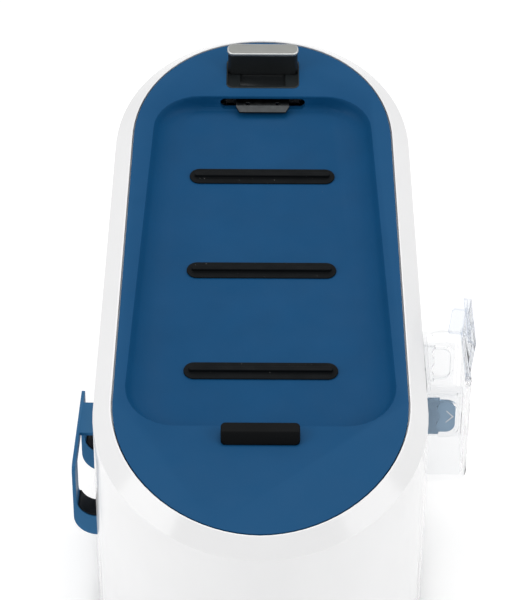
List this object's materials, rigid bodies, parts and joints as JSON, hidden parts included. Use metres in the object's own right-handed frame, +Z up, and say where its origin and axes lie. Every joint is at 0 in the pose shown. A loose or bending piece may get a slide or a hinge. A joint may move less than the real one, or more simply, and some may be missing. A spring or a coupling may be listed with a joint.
{
  "type": "steam iron base station",
  "caption": "Steam-iron base station with a sloping blue iron rest, lock lever, open hose clip and a clear drawer tank with its lid raised.",
  "frame": {"origin": "middle of the overall size in plan, at the height of the feet's undersides", "axes": "+X to the station's right (tank side), +Y to the back, the high end of the iron rest, +Z up"},
  "size_m": [0.2028, 0.352, 0.198],
  "materials": {
    "white_shell": "semi-gloss white housing plastic",
    "rest_blue": "fine satin mid-blue plastic",
    "clip_blue": "satin lighter blue plastic",
    "black_rubber": "soft silicone, matt black",
    "black_plastic": "matt black plastic",
    "silver_cap": "silver-lacquered plastic",
    "latch_steel": "bent spring steel",
    "screw_steel": "zinc-plated steel",
    "clear_tank": "clear blue-tinted plastic",
    "pan_plastic": "matt grey-blue base plastic",
    "frame_plastic": "natural grey engineering plastic",
    "boiler_metal": "die-cast, satin",
    "brass": "turned brass",
    "silicone_hose": "translucent white silicone",
    "board_green": "circuit board",
    "key_plastic": "light grey gloss",
    "light_lens": "diffusing lens",
    "panel_dark": "dark blue-grey gloss",
    "grommet_red": "heat-proof silicone",
    "element_steel": "steel-sheathed element"
  },
  "bodies": {
    "base": {"body_shell": "white_shell", "base_pan": "pan_plastic", "feet": "black_rubber", "base_screws": "screw_steel", "rest_tray": "rest_blue", "tray_screws": "screw_steel", "pad_rear": "black_rubber", "pad_middle": "black_rubber", "pad_front": "black_rubber", "heel_stop": "black_plastic", "lever_well": "black_plastic", "lock_guide": "black_plastic", "hose_clip": "clip_blue", "clip_liner": "black_plastic", "clip_screws": "screw_steel", "tank_bay": "frame_plastic", "tank_spigot": "frame_plastic", "spigot_seal": "black_rubber", "boiler_lower": "boiler_metal", "boiler_upper": "boiler_metal", "boiler_screws": "screw_steel", "heating_element": "element_steel", "boiler_grommets": "grommet_red", "thermostat": "black_plastic", "safety_valve": "brass", "steam_valve": "brass", "valve_coil": "black_plastic", "pump_body": "frame_plastic", "pump_coil": "black_plastic", "pump_bracket": "black_plastic", "feed_hose": "silicone_hose", "boiler_hose": "silicone_hose", "steam_pipe": "silicone_hose", "control_board": "board_green", "board_parts": "black_plastic", "control_panel": "panel_dark", "panel_board": "board_green", "status_light": "light_lens", "rear_panel": "pan_plastic", "hose_gland": "black_plastic", "cord_gland": "black_plastic"},
    "lock": {"lock_lever": "black_plastic", "lock_cap": "silver_cap", "latch_tongue": "latch_steel"},
    "tank": {"water_tank": "clear_tank", "tank_cover": "clear_tank"},
    "lid": {"tank_lid": "clear_tank"},
    "poppet": {"tank_poppet": "black_plastic"},
    "front_catch": {"catch_front": "clip_blue"},
    "rear_catch": {"catch_rear": "frame_plastic"},
    "plunger": {"valve_plunger": "screw_steel"},
    "piston": {"pump_piston": "screw_steel"},
    "power_key": {"power_button": "key_plastic"},
    "mode_key": {"mode_button": "key_plastic"},
    "rinse_key": {"rinse_button": "key_plastic"},
    "drain_plug": {"drain_cap": "pan_plastic"}
  },
  "joints": [
    {"name": "lock_slide", "type": "slide", "parent": "base", "child": "lock", "axis": [0, -0.9724, -0.2334], "range_m": [0, 0.009]},
    {"name": "tank_slide", "type": "slide", "parent": "base", "child": "tank", "axis": [1, 0, 0], "range_m": [0, 0.16]},
    {"name": "lid_hinge", "type": "hinge", "parent": "tank", "child": "lid", "pos_m": [0.09844, -0.04219, 0.1208], "axis": [0, 1, 0], "range_deg": [-96, 0]},
    {"name": "poppet_slide", "type": "slide", "parent": "tank", "child": "poppet", "axis": [1, 0, 0], "range_m": [0, 0.002], "stiffness_N_per_m": 200},
    {"name": "front_catch_press", "type": "hinge", "parent": "base", "child": "front_catch", "pos_m": [0.04684, -0.06549, 0.1], "axis": [0, 0, 1], "range_deg": [0, 2.2], "stiffness_Nm_per_rad": 2},
    {"name": "rear_catch_press", "type": "hinge", "parent": "base", "child": "rear_catch", "pos_m": [0.04684, -0.01889, 0.1], "axis": [0, 0, -1], "range_deg": [0, 2.2], "stiffness_Nm_per_rad": 2},
    {"name": "plunger_slide", "type": "slide", "parent": "base", "child": "plunger", "axis": [0, 0, 1], "range_m": [0, 0.003], "stiffness_N_per_m": 300},
    {"name": "piston_slide", "type": "slide", "parent": "base", "child": "piston", "axis": [0, 1, 0], "range_m": [0, 0.004], "stiffness_N_per_m": 500},
    {"name": "power_press", "type": "slide", "parent": "base", "child": "power_key", "axis": [0, 1, 0], "range_m": [0, 0.0015], "stiffness_N_per_m": 800},
    {"name": "mode_press", "type": "slide", "parent": "base", "child": "mode_key", "axis": [0, 1, 0], "range_m": [0, 0.0015], "stiffness_N_per_m": 800},
    {"name": "rinse_press", "type": "slide", "parent": "base", "child": "rinse_key", "axis": [0, 1, 0], "range_m": [0, 0.0015], "stiffness_N_per_m": 800},
    {"name": "drain_turn", "type": "hinge", "parent": "base", "child": "drain_plug", "pos_m": [-0.00616, 0.05591, 0.008], "axis": [0, 0, 1], "range_deg": [0, 90]}
  ]
}
